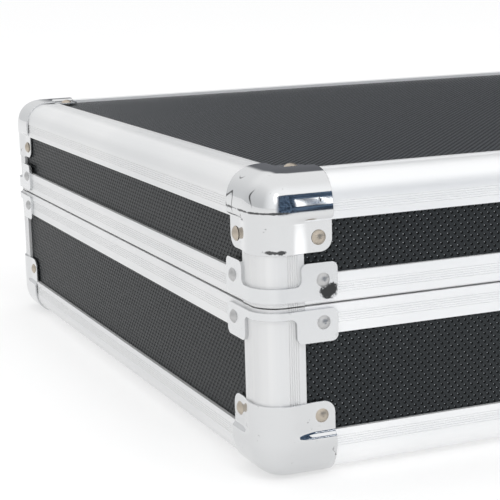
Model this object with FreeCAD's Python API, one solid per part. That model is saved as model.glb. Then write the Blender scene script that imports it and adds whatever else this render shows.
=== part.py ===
"""Long poker chip case: dotted board panels in aluminium profiles, with a hinged lid.

Case frame: X runs along the long side, -Y is the front with the latches and the handle,
Z = 0 is the outer plane of the bottom profiles.  u is the distance in from a face of the
case and v the distance in from the neighbouring one.  save() moves every piece so that
the origin is the middle of the whole object's footprint, at the floor.
"""
import FreeCAD, Part
import os
from math import sqrt

V = FreeCAD.Vector
X_AXIS = V(1, 0, 0)
Y_AXIS = V(0, 1, 0)
Z_AXIS = V(0, 0, 1)

# ---- Case, over the profiles ------------------------------------------------------
case_length = 560.0
case_depth = 210.0
case_height = 70.0
base_height = 40.3          # bottom plane to the parting line
parting_gap = 0.36

# ---- Sheet and extrusion ----------------------------------------------------------
panel_thickness = 4.0
fit = 0.05                  # clearance of a panel in its slot, and of a rivet in its hole
wall = 0.9                  # wall of every profile
edge_leg = 10.5             # width of an edge profile on each face
edge_radius = 6.2
rim_height = 6.8            # width of the mating profiles on each side of the parting line
rim_web = 4.2               # parting face to the web that closes the lid's groove
rim_flange = 1.0
rim_chamfer = 0.35
tongue_height = 3.4
tongue_thickness = 1.2
rim_groove_count = 5
groove_pitch = 0.55
groove_width = 0.26
groove_depth = 0.16
edge_groove_start = 6.55    # first groove's distance from the corner of an edge profile
edge_groove_lip = 1.7       # plain lip left at the least beside the panel
rim_groove_start = 2.2      # first groove's distance from the parting line

# ---- Pressed corner plates --------------------------------------------------------
plate = 0.8
ball_reach = 17.7           # how far a ball corner reaches from the corner along each edge
ball_tab_radius = 3.0
ball_centre = 16.0          # centre of the sphere that rounds its tip, in from all three planes
ball_radius = 22.0
ball_rivet_inset = 14.3
joggle_gap = 0.3            # between a profile's edge and the plate's step down to the panel
end_gap = 0.5               # profile ends stop this far short of the neighbouring profile
bracket_reach = 18.4
lid_bracket_gap = 1.3       # lid bracket's lower edge above the parting line
base_bracket_gap = 0.9      # base bracket's upper edge below the parting line
lid_bracket_top = 9.8       # ear's top above the parting line
lid_bracket_band = 4.6
base_bracket_bottom = 8.5   # ear's bottom below the parting line
base_bracket_band = 2.6
lid_ear_inset = 9.5         # ear's inner edge to the corner
base_ear_inset = 8.2
bracket_corner_radius = 1.5
bracket_rivet_inset = 14.8
lid_bracket_rivet = 5.8     # above the parting line
base_bracket_rivet = 4.0    # below the parting line

# ---- Rivets -----------------------------------------------------------------------
corner_head_radius = 1.75
bracket_head_radius = 1.65
head_height = 0.85
shank_radius = 1.1
tail_radius = 1.7
tail_height = 0.8

# ---- Linings and trays ------------------------------------------------------------
lining_thickness = 1.5
pad_thickness = 12.0
lining_gap = 0.3
tray_gap = 1.0              # trays to the case walls
tray_split = 0.8            # between neighbouring trays
glue_gap = 0.05             # trays to the lining they are stuck to
tray_height = 24.4
rows_per_tray = 5
row_pitch = 42.0
trough_radius = 20.3
trough_length = 170.0
trough_floor = 1.9
tray_side = 2.0
tray_corner_radius = 3.0
card_length = 90.0
card_width = 66.0
card_well_depth = 20.0
side_well_depth = 17.0
well_wall = 4.0
well_radius = 3.0

# ---- Hinges -----------------------------------------------------------------------
hinge_x = 190.0
hinge_width = 42.0
hinge_plate = 1.2
hinge_pin_radius = 1.3
knuckle_radius = 2.6
knuckle_gap = 0.35
lid_knuckle_width = 15.0
running_clearance = 0.05
base_leaf_drop = 21.0       # leaf's far edge below the parting line
lid_leaf_rise = 18.3        # leaf's far edge above the parting line
leaf_notch = 3.2
hinge_rivet_spacing = 30.0
base_hinge_rivet = 15.5
lid_hinge_rivet = 13.5
hardware_head_radius = 1.6
pin_overhang = 0.6

# ---- Latches ----------------------------------------------------------------------
latch_x = 165.0
lock_width = 37.0
lock_bottom = 12.3
lock_top = 32.8
lock_step = 22.4            # top of the lock's thick lower part
lock_upper_out = 2.0        # how far the lock's upper part stands out of the case face
lock_lower_out = 4.8
lock_edge_radius = 1.0
hasp_gap = 0.4
hasp_plate = 1.4
hasp_width = 26.0
hasp_bottom = 23.2
hasp_lip = 1.6
hasp_lip_height = 2.4
hasp_hinge_height = 13.7    # hasp's pin above the parting line
hasp_knuckle_radius = 2.1
hasp_knuckle_width = 12.0
hasp_pin_radius = 1.0
hasp_mount_width = 32.0
hasp_mount_top = 18.6       # above the parting line
hasp_mount_bottom = 7.6
mount_rivet_spacing = 25.0
mount_rivet_height = 13.7
stud_width = 8.0
stud_height = 3.0
stud_bottom = 26.0
stud_depth = 3.0
stud_notch_width = 1.2
slot_clearance = 0.4
bolt_thickness = 0.8
bolt_depth = 1.2            # bolt's front face out from the case face
bolt_overlap = 0.9          # how far the bolt's nose reaches into the stud's notch
bolt_left = 5.6
bolt_right = 12.0
bolt_bottom = 14.4
button_left = 6.4
button_width = 4.6
button_bottom = 15.0
button_height = 4.6
button_out = 1.3
slider_travel = 2.0
slide_clearance = 0.3
cylinder_x = -6.2
cylinder_z = 17.3
cylinder_radius = 3.3
cylinder_out = 0.4
cylinder_depth = 4.0
keyhole_width = 0.9
keyhole_length = 3.8
keyhole_depth = 2.0
lock_rivet_spacing = 33.2
lock_rivet_low = 15.2
lock_rivet_high = 29.9

# ---- Handle -----------------------------------------------------------------------
handle_half_span = 58.0
handle_pivot_z = 30.0
handle_out = 6.6            # pivot's distance out of the case face
bail_radius = 2.5
bail_drop = 20.5
bail_bend = 7.0
grip_radius = 6.0
grip_length = 84.0
grip_end_radius = 4.4
handle_bracket_plate = 1.3
handle_bracket_width = 23.0
handle_bracket_bottom = 13.0
handle_bracket_top = 32.6
boss_width = 9.0
boss_radius = 4.4
handle_rivet_low = 16.2
handle_rivet_high = 29.4
handle_rivet_spacing = 17.0

# ---- Values worked out from those above -------------------------------------------
half_x = case_length / 2
half_y = case_depth / 2
base_top = base_height - parting_gap / 2
lid_bottom = base_height + parting_gap / 2
slot = panel_thickness + 2 * fit
inner_leg = wall + slot                 # outer plane to the inner leg
wall_depth = inner_leg + wall           # outer plane to the inside of the case
panel_face = wall + fit                 # outer plane to the panel's outer face
panel_back = panel_face + panel_thickness
panel_inset = wall_depth + fit          # panel's edge to the neighbouring outer plane
profile_end = edge_leg + end_gap        # profile's end to the neighbouring outer plane
groove_room = edge_leg - edge_groove_lip - edge_groove_start
edge_groove_count = int(groove_room / groove_pitch) + 1
tab_outer = panel_face - fit - plate    # pressed tab lies on the panel
joggle = edge_leg + joggle_gap
inside_x = half_x - wall_depth
inside_y = half_y - wall_depth
lining_top = panel_back + fit + lining_thickness
tray_bottom = lining_top + glue_gap
tray_top = tray_bottom + tray_height
tray_width = rows_per_tray * row_pitch + 2 * tray_side
tray_half_y = inside_y - tray_gap
chip_axis_z = tray_bottom + trough_floor + trough_radius
pad_bottom = case_height - panel_back - fit - pad_thickness
hinge_out = knuckle_radius + knuckle_gap
hinge_y = half_y + hinge_out
hasp_back = lock_upper_out + hasp_gap
boss_middle = handle_half_span - bail_bend - boss_width / 2
hasp_axis_out = hasp_back + hasp_plate / 2
hasp_axis_z = base_height + hasp_hinge_height
front_out = max(handle_out + grip_radius, lock_lower_out + button_out)
rear_out = hinge_out + knuckle_radius
shift = V(0, (front_out - rear_out) / 2, plate)


# ---- Small helpers ----------------------------------------------------------------
def box(x0, x1, y0, y1, z0, z1):
    """Box between two corners."""
    return Part.makeBox(x1 - x0, y1 - y0, z1 - z0, V(x0, y0, z0))


def rod(start, direction, radius, length):
    """Round bar from a point along a direction."""
    return Part.makeCylinder(radius, length, start, direction)


def front(x0, x1, out0, out1, z0, z1):
    """Box on the front face, given how far it stands out of the case face."""
    return box(x0, x1, -half_y - out1, -half_y - out0, z0, z1)


def mirror_x(shape):
    return shape.mirror(V(0, 0, 0), X_AXIS)


def mirror_y(shape):
    return shape.mirror(V(0, 0, 0), Y_AXIS)


def both_ends(shape):
    """The piece and its mirror image at the other end of the case."""
    return [shape, mirror_x(shape)]


def four_corners(shape):
    """The piece at the front left corner and its images at the other three."""
    left = [shape, mirror_y(shape)]
    return left + [mirror_x(piece) for piece in left]


def fuse(shapes):
    return shapes[0].multiFuse(shapes[1:]).removeSplitter()


def round_edges(shape, radius, wanted):
    """Fillets the edges for which wanted(edge) is true."""
    return shape.makeFillet(radius, [edge for edge in shape.Edges if wanted(edge)])


def along(axis, length=None):
    """Test for a straight edge along an axis, and of one length where that is given."""
    def wanted(edge):
        if not isinstance(edge.Curve, Part.Line):
            return False
        if length is not None and abs(edge.Length - length) > 1e-3:
            return False
        return abs(abs(edge.tangentAt(edge.FirstParameter).dot(axis)) - 1) < 1e-6
    return wanted


def save(name, shapes):
    """Writes one node: a single solid, or a group of separate ones."""
    pieces = shapes if isinstance(shapes, list) else [shapes]
    solids = []
    for piece in pieces:
        moved = piece.copy()
        moved.translate(shift)
        solids.extend(moved.Solids)
    for solid in solids:
        if not solid.isValid():
            raise ValueError(name + " is not a valid solid")
    node = solids[0] if len(solids) == 1 else Part.makeCompound(solids)
    node.exportStep(os.path.join("parts", name + ".step"))


# ---- Extruded sections ------------------------------------------------------------
class Section:
    """Outline drawn in (u, v) on a plane of the case, then pulled along it."""

    def __init__(self, origin, u_dir, v_dir):
        self.origin = origin
        self.u_dir = u_dir
        self.v_dir = v_dir

    def at(self, point):
        return self.origin + self.u_dir * point[0] + self.v_dir * point[1]

    def wire(self, steps):
        """Closed wire: a point is a straight run to it, a pair of points an arc."""
        edges = []
        here = steps[0]
        for step in steps[1:] + [steps[0]]:
            if isinstance(step[0], tuple):
                arc = Part.Arc(self.at(here), self.at(step[0]), self.at(step[1]))
                edges.append(arc.toShape())
                here = step[1]
            else:
                edges.append(Part.LineSegment(self.at(here), self.at(step)).toShape())
                here = step
        return Part.Wire(edges)

    def pull(self, outline, holes, travel):
        face = Part.Face([self.wire(outline)] + [self.wire(hole) for hole in holes])
        return face.extrude(travel)


def groove_steps(first, count, rising):
    """Small V grooves in a face at u = 0: the points along v, in the order asked for."""
    points = []
    for index in range(count):
        middle = first + index * groove_pitch
        points.append((0, middle - groove_width / 2))
        points.append((groove_depth, middle))
        points.append((0, middle + groove_width / 2))
    return points if rising else points[::-1]


def edge_outline():
    """Edge profile: two legs, round corner, and a slot on each side for a panel."""
    on_v = groove_steps(edge_groove_start, edge_groove_count, True)
    on_u = [(v, u) for u, v in groove_steps(edge_groove_start, edge_groove_count, False)]
    middle = edge_radius * (1 - sqrt(0.5))
    outline = [(edge_leg, 0)] + on_u + [(edge_radius, 0)]
    outline.append(((middle, middle), (0, edge_radius)))
    outline += on_v + [(0, edge_leg), (wall, edge_leg), (wall, wall_depth)]
    outline += [(inner_leg, wall_depth), (inner_leg, edge_leg), (wall_depth, edge_leg)]
    outline += [(wall_depth, wall_depth), (edge_leg, wall_depth), (edge_leg, inner_leg)]
    outline += [(wall_depth, inner_leg), (wall_depth, wall), (edge_leg, wall)]
    bore_radius = edge_radius - wall
    near = edge_radius - sqrt(bore_radius ** 2 - (edge_radius - inner_leg) ** 2)
    bore_middle = edge_radius - bore_radius * sqrt(0.5)
    bore = [(near, inner_leg), ((bore_middle, bore_middle), (inner_leg, near))]
    bore.append((inner_leg, inner_leg))
    return outline, [bore]


def lid_rim_outline():
    """Lid's mating profile, v up from its lower face: panel slot above, groove below."""
    outline = [(rim_chamfer, 0), (0, rim_chamfer)]
    outline += groove_steps(rim_groove_start, rim_groove_count, True)
    outline += [(0, rim_height), (wall, rim_height), (wall, rim_web + wall)]
    outline += [(inner_leg, rim_web + wall), (inner_leg, rim_height)]
    outline += [(wall_depth, rim_height), (wall_depth, 0), (inner_leg, 0)]
    outline += [(inner_leg, rim_web), (wall, rim_web), (wall, 0)]
    return outline


def base_rim_outline():
    """Base's mating profile, v down from its upper face, with a tongue standing on it."""
    tongue_mid = (wall + inner_leg) / 2
    tongue_out = tongue_mid - tongue_thickness / 2
    tongue_in = tongue_mid + tongue_thickness / 2
    outline = [(0, 0)] + groove_steps(rim_groove_start, rim_groove_count, True)
    outline += [(0, rim_height), (wall, rim_height), (wall, rim_flange)]
    outline += [(inner_leg, rim_flange), (inner_leg, rim_height)]
    outline += [(wall_depth, rim_height), (wall_depth, 0), (tongue_in, 0)]
    outline += [(tongue_in, -tongue_height), (tongue_out, -tongue_height), (tongue_out, 0)]
    return outline


# ---- Fasteners --------------------------------------------------------------------
class Rivet:
    """Blind rivet set from outside: place of its head's seat, and which way is out."""

    def __init__(self, seat, out, radius, grip):
        self.seat = seat
        self.turn = FreeCAD.Rotation(Z_AXIS, out)
        self.radius = radius
        self.grip = grip

    def placed(self, shape):
        shape.Placement = FreeCAD.Placement(self.seat, self.turn)
        return shape

    def solid(self):
        """Domed head, shank through the wall, and the tail set on the inside."""
        dome = (self.radius ** 2 + head_height ** 2) / (2 * head_height)
        head = Part.makeSphere(dome, V(0, 0, head_height - dome))
        head = head.common(rod(V(0, 0, 0), Z_AXIS, self.radius, head_height))
        shank = rod(V(0, 0, -self.grip), Z_AXIS, shank_radius, self.grip)
        tail = rod(V(0, 0, -self.grip - tail_height), Z_AXIS, tail_radius, tail_height)
        return self.placed(fuse([head, shank, tail]))

    def void(self):
        """Room that the rivet needs in what it passes through."""
        hole = rod(V(0, 0, -self.grip), Z_AXIS, shank_radius + fit, self.grip)
        below = -self.grip - tail_height - fit
        tail = rod(V(0, 0, below), Z_AXIS, tail_radius + fit, tail_height + 2 * fit)
        return self.placed(hole.fuse(tail))


def drill(shape, rivets):
    """Cuts the holes of the rivets that pass through the piece."""
    room = shape.BoundBox
    voids = [rivet.void() for rivet in rivets]
    voids = [void for void in voids if room.intersect(void.BoundBox)]
    return shape.cut(voids) if voids else shape


def corner_rivets(z_plane, z_in):
    """Three rivets at each ball corner; z_in is +1 from the bottom plane, -1 from the top."""
    grip = panel_back - tab_outer
    inset = ball_rivet_inset
    z_side = z_plane + z_in * inset
    rivets = []
    for sx in (-1, 1):
        for sy in (-1, 1):
            x_in = sx * (half_x - inset)
            y_in = sy * (half_y - inset)
            x_face = sx * (half_x - tab_outer)
            y_face = sy * (half_y - tab_outer)
            z_face = z_plane + z_in * tab_outer
            for seat, out in ((V(x_face, y_in, z_side), V(sx, 0, 0)),
                              (V(x_in, y_face, z_side), V(0, sy, 0)),
                              (V(x_in, y_in, z_face), V(0, 0, -z_in))):
                rivets.append(Rivet(seat, out, corner_head_radius, grip))
    return rivets


def bracket_rivets(z):
    """Two rivets at each corner bracket."""
    rivets = []
    for sx in (-1, 1):
        for sy in (-1, 1):
            x_in = sx * (half_x - bracket_rivet_inset)
            y_in = sy * (half_y - bracket_rivet_inset)
            grip = wall_depth + plate
            side = V(sx * (half_x + plate), y_in, z)
            end = V(x_in, sy * (half_y + plate), z)
            rivets.append(Rivet(side, V(sx, 0, 0), bracket_head_radius, grip))
            rivets.append(Rivet(end, V(0, sy, 0), bracket_head_radius, grip))
    return rivets


def face_rivets(centre, spacing, heights, sy, out):
    """Rivets in columns about +centre and -centre on the front (sy = -1) or back."""
    rivets = []
    for side in (-1, 1):
        for column in (-spacing / 2, spacing / 2):
            for z in heights:
                seat = V(side * centre + column, sy * (half_y + out), z)
                grip = panel_back + out
                rivets.append(Rivet(seat, V(0, sy, 0), hardware_head_radius, grip))
    return rivets


# ---- Panels and profiles ----------------------------------------------------------
def flat_panel(z_outer, z_in):
    """Top or bottom panel."""
    near = z_outer + z_in * panel_face
    far = z_outer + z_in * panel_back
    x = half_x - panel_inset
    y = half_y - panel_inset
    return box(-x, x, -y, y, min(near, far), max(near, far))


def long_panel(z0, z1):
    """Front panel of one half of the case."""
    x = half_x - panel_inset
    return box(-x, x, -half_y + panel_face, -half_y + panel_back, z0, z1)


def end_panel(z0, z1):
    """Left panel of one half of the case."""
    y = half_y - panel_inset
    return box(-half_x + panel_face, -half_x + panel_back, -y, y, z0, z1)


def edge_profile_long(z_plane, z_dir):
    """Edge profile along the front."""
    start = -half_x + profile_end
    section = Section(V(start, -half_y, z_plane), Y_AXIS, Z_AXIS * z_dir)
    outline, holes = edge_outline()
    return section.pull(outline, holes, X_AXIS * (case_length - 2 * profile_end))


def edge_profile_short(z_plane, z_dir):
    """Edge profile along the left end."""
    start = -half_y + profile_end
    section = Section(V(-half_x, start, z_plane), X_AXIS, Z_AXIS * z_dir)
    outline, holes = edge_outline()
    return section.pull(outline, holes, Y_AXIS * (case_depth - 2 * profile_end))


def corner_post(z0, z1):
    """Upright edge profile at the front left corner."""
    section = Section(V(-half_x, -half_y, z0), X_AXIS, Y_AXIS)
    outline, holes = edge_outline()
    return section.pull(outline, holes, Z_AXIS * (z1 - z0))


def rim_long(outline, z, z_dir):
    """Mating profile along the front, butted between the corner posts."""
    start = -half_x + edge_leg + fit
    section = Section(V(start, -half_y, z), Y_AXIS, Z_AXIS * z_dir)
    return section.pull(outline, [], X_AXIS * (case_length - 2 * (edge_leg + fit)))


def rim_short(outline, z, z_dir):
    """Mating profile along the left end, butted between the corner posts."""
    start = -half_y + edge_leg + fit
    section = Section(V(-half_x, start, z), X_AXIS, Z_AXIS * z_dir)
    return section.pull(outline, [], Y_AXIS * (case_depth - 2 * (edge_leg + fit)))


# ---- Pressed corner pieces --------------------------------------------------------
def rounded_block(low, high, radius, ball):
    """Cube from low to high: its three edges at the low corner are rounded, and its tip is a ball."""
    block = box(low, high, low, high, low, high)

    def at_corner(edge):
        touches = [vertex for vertex in edge.Vertexes
                   if vertex.Point.distanceToPoint(V(low, low, low)) < 1e-6]
        return len(touches) > 0
    sphere = Part.makeSphere(ball, V(ball_centre, ball_centre, ball_centre))
    tip = box(low, ball_centre, low, ball_centre, low, ball_centre)
    rounded = round_edges(block, radius, at_corner)
    return rounded.cut(tip.cut(sphere))


def ball_tab(turn):
    """One face's tab, stepped down from the profiles to the panel, lying across Z."""
    low = joggle
    high = joggle + plate
    bottom = tab_outer + plate
    tab = box(low, ball_reach, low, ball_reach, tab_outer, bottom)
    step_x = box(low, high, low, ball_reach, -plate, bottom)
    step_y = box(low, ball_reach, low, high, -plate, bottom)
    tab = fuse([tab, step_x, step_y])
    tab.rotate(V(0, 0, 0), V(1, 1, 1), turn)
    return tab


def ball_corner():
    """Ball corner at a corner at the origin, reaching along +X, +Y and +Z."""
    outer = rounded_block(-plate, ball_reach, edge_radius + plate, ball_radius)
    inner = rounded_block(0, ball_reach + plate, edge_radius, ball_radius - plate)
    shell = outer.cut(inner)
    window = joggle + plate / 2
    for turn in (0, 120, 240):
        opening = box(window, ball_reach + plate, window, ball_reach + plate, -2 * plate, plate)
        opening.rotate(V(0, 0, 0), V(1, 1, 1), turn)
        shell = shell.cut(opening)
    shell = fuse([shell] + [ball_tab(turn) for turn in (0, 120, 240)])
    reach = ball_reach

    def tab_corner(edge):
        middle = edge.CenterOfMass
        far = sorted([middle.x, middle.y, middle.z])[1:]
        return min(far) > reach - 1e-6 and abs(edge.Length - plate) < 1e-3
    return round_edges(shell, ball_tab_radius, tab_corner)


def placed_ball_corner(z_plane, z_dir):
    """Ball corner at the front left corner, on the bottom plane or the top one."""
    corner = ball_corner()
    if z_dir < 0:
        corner = corner.mirror(V(0, 0, 0), Z_AXIS)
    corner.translate(V(-half_x, -half_y, z_plane))
    return corner


def corner_bracket(z0, z1, cut0, cut1, inset):
    """Flat L bracket round an upright corner, with ears either side of the post."""
    def bent(low, radius, reach):
        block = box(low, reach, low, reach, z0, z1)
        return round_edges(block, radius, lambda edge: along(Z_AXIS)(edge)
                           and edge.CenterOfMass.x < low + 1e-6
                           and edge.CenterOfMass.y < low + 1e-6)
    outer = bent(-plate, edge_radius + plate, bracket_reach)
    shell = outer.cut(bent(0, edge_radius, bracket_reach + plate))
    shell = shell.cut(box(-2 * plate, inset, -2 * plate, inset, cut0, cut1))
    flat = round_edges(shell, bracket_corner_radius, lambda edge: along(X_AXIS, plate)(edge)
                       or along(Y_AXIS, plate)(edge))
    flat.translate(V(-half_x, -half_y, 0))
    return flat


# ---- Linings and trays ------------------------------------------------------------
def lining(z0, z1):
    """Flat lining between the inner legs of the edge profiles."""
    x = half_x - edge_leg - lining_gap
    y = half_y - edge_leg - lining_gap
    return box(-x, x, -y, y, z0, z1)


def tray_blank(x0, x1):
    blank = box(x0, x1, -tray_half_y, tray_half_y, tray_bottom, tray_top)
    return round_edges(blank, tray_corner_radius, along(Z_AXIS))


def chip_tray(x0):
    """Tray with half-round troughs side by side, each for one row of chips on edge."""
    tray = tray_blank(x0, x0 + tray_width)
    troughs = []
    for row in range(rows_per_tray):
        x = x0 + tray_side + (row + 0.5) * row_pitch
        start = V(x, -trough_length / 2, chip_axis_z)
        round_part = rod(start, Y_AXIS, trough_radius, trough_length)
        straight = box(x - trough_radius, x + trough_radius, -trough_length / 2,
                       trough_length / 2, chip_axis_z, tray_top + 1)
        troughs.append(round_part.fuse(straight))
    return tray.cut(troughs)


def well(x0, x1, y0, y1, depth):
    hollow = box(x0, x1, y0, y1, tray_top - depth, tray_top + 1)
    return round_edges(hollow, well_radius, along(Z_AXIS))


def centre_tray():
    """Middle tray: two wells for card decks, and two for dice and buttons beside them."""
    half_width = inside_x - tray_gap - tray_width - tray_split
    tray = tray_blank(-half_width, half_width)
    cards_left = -half_width + well_wall
    cards_right = cards_left + card_width
    side_left = cards_right + well_wall
    side_right = half_width - well_wall
    wells = []
    for sy in (-1, 1):
        near = sy * well_wall / 2
        far = near + sy * card_length
        y0 = min(near, far)
        y1 = max(near, far)
        wells.append(well(cards_left, cards_right, y0, y1, card_well_depth))
        wells.append(well(side_left, side_right, y0, y1, side_well_depth))
    return tray.cut(wells)


# ---- Hinges -----------------------------------------------------------------------
def knuckle_barrel(x0, x1, bore):
    """Rolled knuckle about the hinge axis."""
    start = V(x0, hinge_y, base_height)
    barrel = rod(start, X_AXIS, knuckle_radius, x1 - x0)
    return barrel, rod(start, X_AXIS, bore, x1 - x0)


def hinge_leaf(z_dir, reach, rim_edge, spans, bore):
    """Leaf over the mating profile, stepped down to the panel, with its knuckles."""
    x0 = hinge_x - hinge_width / 2
    x1 = hinge_x + hinge_width / 2
    panel_y = half_y - panel_face
    near = base_height + z_dir * parting_gap
    step = base_height + z_dir * (rim_edge + joggle_gap)
    far = base_height + z_dir * reach

    def slab(y0, y1, za, zb, xa=x0, xb=x1):
        return box(xa, xb, y0, y1, min(za, zb), max(za, zb))
    over = slab(half_y, half_y + hinge_plate, near, step + z_dir * hinge_plate)
    down = slab(panel_y, half_y + hinge_plate, step, step + z_dir * hinge_plate)
    flat = slab(panel_y, panel_y + hinge_plate, step, far)
    leaf = fuse([over, down, flat])
    leaf = round_edges(leaf, bracket_corner_radius, lambda edge: along(Y_AXIS, hinge_plate)(edge)
                       and abs(edge.CenterOfMass.z - far) < 1e-3)
    notch_end = base_height + z_dir * leaf_notch
    keep = leaf.cut(slab(half_y - 1, half_y + 2 * hinge_out, near - z_dir, notch_end))
    pieces = [keep]
    bores = []
    for xa, xb in spans:
        pieces.append(slab(half_y, half_y + hinge_plate, near, notch_end, xa, xb))
        barrel, hole = knuckle_barrel(xa, xb, bore)
        pieces.append(barrel)
        bores.append(hole)
    return fuse(pieces).cut(bores)


def hinge_parts():
    """Base leaf, lid leaf and pin of the hinge on the right."""
    x0 = hinge_x - hinge_width / 2
    x1 = hinge_x + hinge_width / 2
    lid0 = hinge_x - lid_knuckle_width / 2
    lid1 = hinge_x + lid_knuckle_width / 2
    base_spans = [(x0, lid0 - knuckle_gap), (lid1 + knuckle_gap, x1)]
    rim_edge = rim_height + parting_gap / 2
    base_leaf = hinge_leaf(-1, base_leaf_drop, rim_edge, base_spans, hinge_pin_radius)
    lid_bore = hinge_pin_radius + running_clearance
    lid_leaf = hinge_leaf(1, lid_leaf_rise, rim_edge, [(lid0, lid1)], lid_bore)
    start = V(x0 - pin_overhang, hinge_y, base_height)
    pin = rod(start, X_AXIS, hinge_pin_radius, hinge_width + 2 * pin_overhang)
    return base_leaf, lid_leaf, pin


# ---- Latches, drawn about x = 0 ---------------------------------------------------
def hasp_mount():
    """Riveted plate on the lid with two knuckles that hold the hasp's pin."""
    half = hasp_mount_width / 2
    z0 = base_height + hasp_mount_bottom
    z1 = base_height + hasp_mount_top
    back = -panel_face
    plate_part = front(-half, half, back, back + hinge_plate, z0, z1)
    pieces = [plate_part]
    inner = hasp_knuckle_width / 2 + knuckle_gap
    outer = hasp_width / 2 - hasp_knuckle_radius
    for x0, x1 in ((-outer, -inner), (inner, outer)):
        start = V(x0, -half_y - hasp_axis_out, hasp_axis_z)
        pieces.append(rod(start, X_AXIS, hasp_knuckle_radius, x1 - x0))
        low = hasp_axis_z - hasp_knuckle_radius
        high = hasp_axis_z + hasp_knuckle_radius
        pieces.append(front(x0, x1, back, hasp_axis_out, low, high))
    start = V(-outer, -half_y - hasp_axis_out, hasp_axis_z)
    return fuse(pieces).cut(rod(start, X_AXIS, hasp_pin_radius, 2 * outer))


def hasp_pin():
    outer = hasp_width / 2 - hasp_knuckle_radius + pin_overhang
    start = V(-outer, -half_y - hasp_axis_out, hasp_axis_z)
    return rod(start, X_AXIS, hasp_pin_radius, 2 * outer)


def hasp():
    """Flap that hangs from the lid over the lock, with a lip to lift and a notched stud."""
    half = hasp_width / 2
    top = hasp_axis_z - hasp_knuckle_radius - knuckle_gap - hasp_gap
    flap = front(-half, half, hasp_back, hasp_back + hasp_plate, hasp_bottom, top)
    flap = round_edges(flap, bracket_corner_radius, along(Y_AXIS))
    knuckle_half = hasp_knuckle_width / 2
    start = V(-knuckle_half, -half_y - hasp_axis_out, hasp_axis_z)
    knuckle = rod(start, X_AXIS, hasp_knuckle_radius, hasp_knuckle_width)
    neck = front(-knuckle_half, knuckle_half, hasp_back, hasp_back + hasp_plate,
                 top - hasp_plate, hasp_axis_z)
    lip_out = hasp_back + hasp_plate + hasp_lip
    lip = front(-half + 2 * bracket_corner_radius, half - 2 * bracket_corner_radius,
                hasp_back, lip_out, hasp_bottom, hasp_bottom + hasp_lip_height)
    lip = round_edges(lip, hasp_lip * 0.6, lambda edge: along(X_AXIS)(edge)
                      and edge.CenterOfMass.y < -half_y - lip_out + 1e-3)
    stud = front(-stud_width / 2, stud_width / 2, hasp_back - stud_depth, hasp_back,
                 stud_bottom, stud_bottom + stud_height)
    body = fuse([flap, knuckle, neck, lip, stud])
    notch_back = bolt_depth - bolt_thickness - slide_clearance
    notch = front(stud_width / 2 - stud_notch_width, stud_width, notch_back,
                  bolt_depth + slide_clearance, stud_bottom - 1, stud_bottom + stud_height + 1)
    bore = rod(start, X_AXIS, hasp_pin_radius + running_clearance, hasp_knuckle_width)
    return body.cut([notch, bore])


def slider():
    """Thumb button with the bolt behind it, whose nose holds the hasp's stud."""
    back = bolt_depth - bolt_thickness
    nose_top = stud_bottom + stud_height - slide_clearance
    plate_part = front(bolt_left, bolt_right, back, bolt_depth, bolt_bottom, nose_top)
    nose = front(stud_width / 2 - bolt_overlap, bolt_left + 1, back, bolt_depth,
                 stud_bottom + slide_clearance, nose_top)
    button = front(button_left, button_left + button_width, back,
                   lock_lower_out + button_out, button_bottom, button_bottom + button_height)
    button = round_edges(button, bracket_corner_radius / 3, lambda edge:
                         edge.CenterOfMass.y < -half_y - lock_lower_out - button_out + 1e-3)
    return fuse([plate_part, nose, button])


def lock_case():
    """Lock housing: pocket for the stud, cavity for the bolt, window and cylinder bore."""
    half = lock_width / 2
    back = -panel_face
    upper = front(-half, half, back, lock_upper_out, lock_bottom, lock_top)
    lower = front(-half, half, back, lock_lower_out, lock_bottom, lock_step)
    case = fuse([upper, lower])
    case = round_edges(case, lock_edge_radius, along(Y_AXIS))
    gap = slide_clearance
    pocket_half = stud_width / 2 + slot_clearance
    pocket = front(-pocket_half, pocket_half, back - 1, lock_upper_out + 1,
                   stud_bottom - slot_clearance, stud_bottom + stud_height + slot_clearance)
    bolt_room = front(bolt_left - gap, bolt_right + gap + slider_travel,
                      bolt_depth - bolt_thickness - gap, bolt_depth + gap,
                      bolt_bottom - gap, stud_bottom + stud_height)
    nose_room = front(0, bolt_left, bolt_depth - bolt_thickness - gap, bolt_depth + gap,
                      stud_bottom, stud_bottom + stud_height)
    window = front(button_left - gap, button_left + button_width + gap + slider_travel,
                   bolt_depth, lock_lower_out + 1, button_bottom - gap,
                   button_bottom + button_height + gap)
    start = V(cylinder_x, -half_y - lock_lower_out - 1, cylinder_z)
    bore = rod(start, Y_AXIS, cylinder_radius + running_clearance, cylinder_depth + 1 + gap)
    return case.cut([pocket, bolt_room, nose_room, window, bore])


def lock_cylinder():
    """Key cylinder with its keyhole, flush with the lock's face but for a thin rim."""
    start = V(cylinder_x, -half_y - lock_lower_out - cylinder_out, cylinder_z)
    barrel = rod(start, Y_AXIS, cylinder_radius, cylinder_depth + cylinder_out)
    out = lock_lower_out + cylinder_out
    keyhole = front(cylinder_x - keyhole_width / 2, cylinder_x + keyhole_width / 2,
                    out - keyhole_depth, out + 1, cylinder_z - keyhole_length / 2,
                    cylinder_z + keyhole_length / 2)
    return barrel.cut(keyhole)


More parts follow.
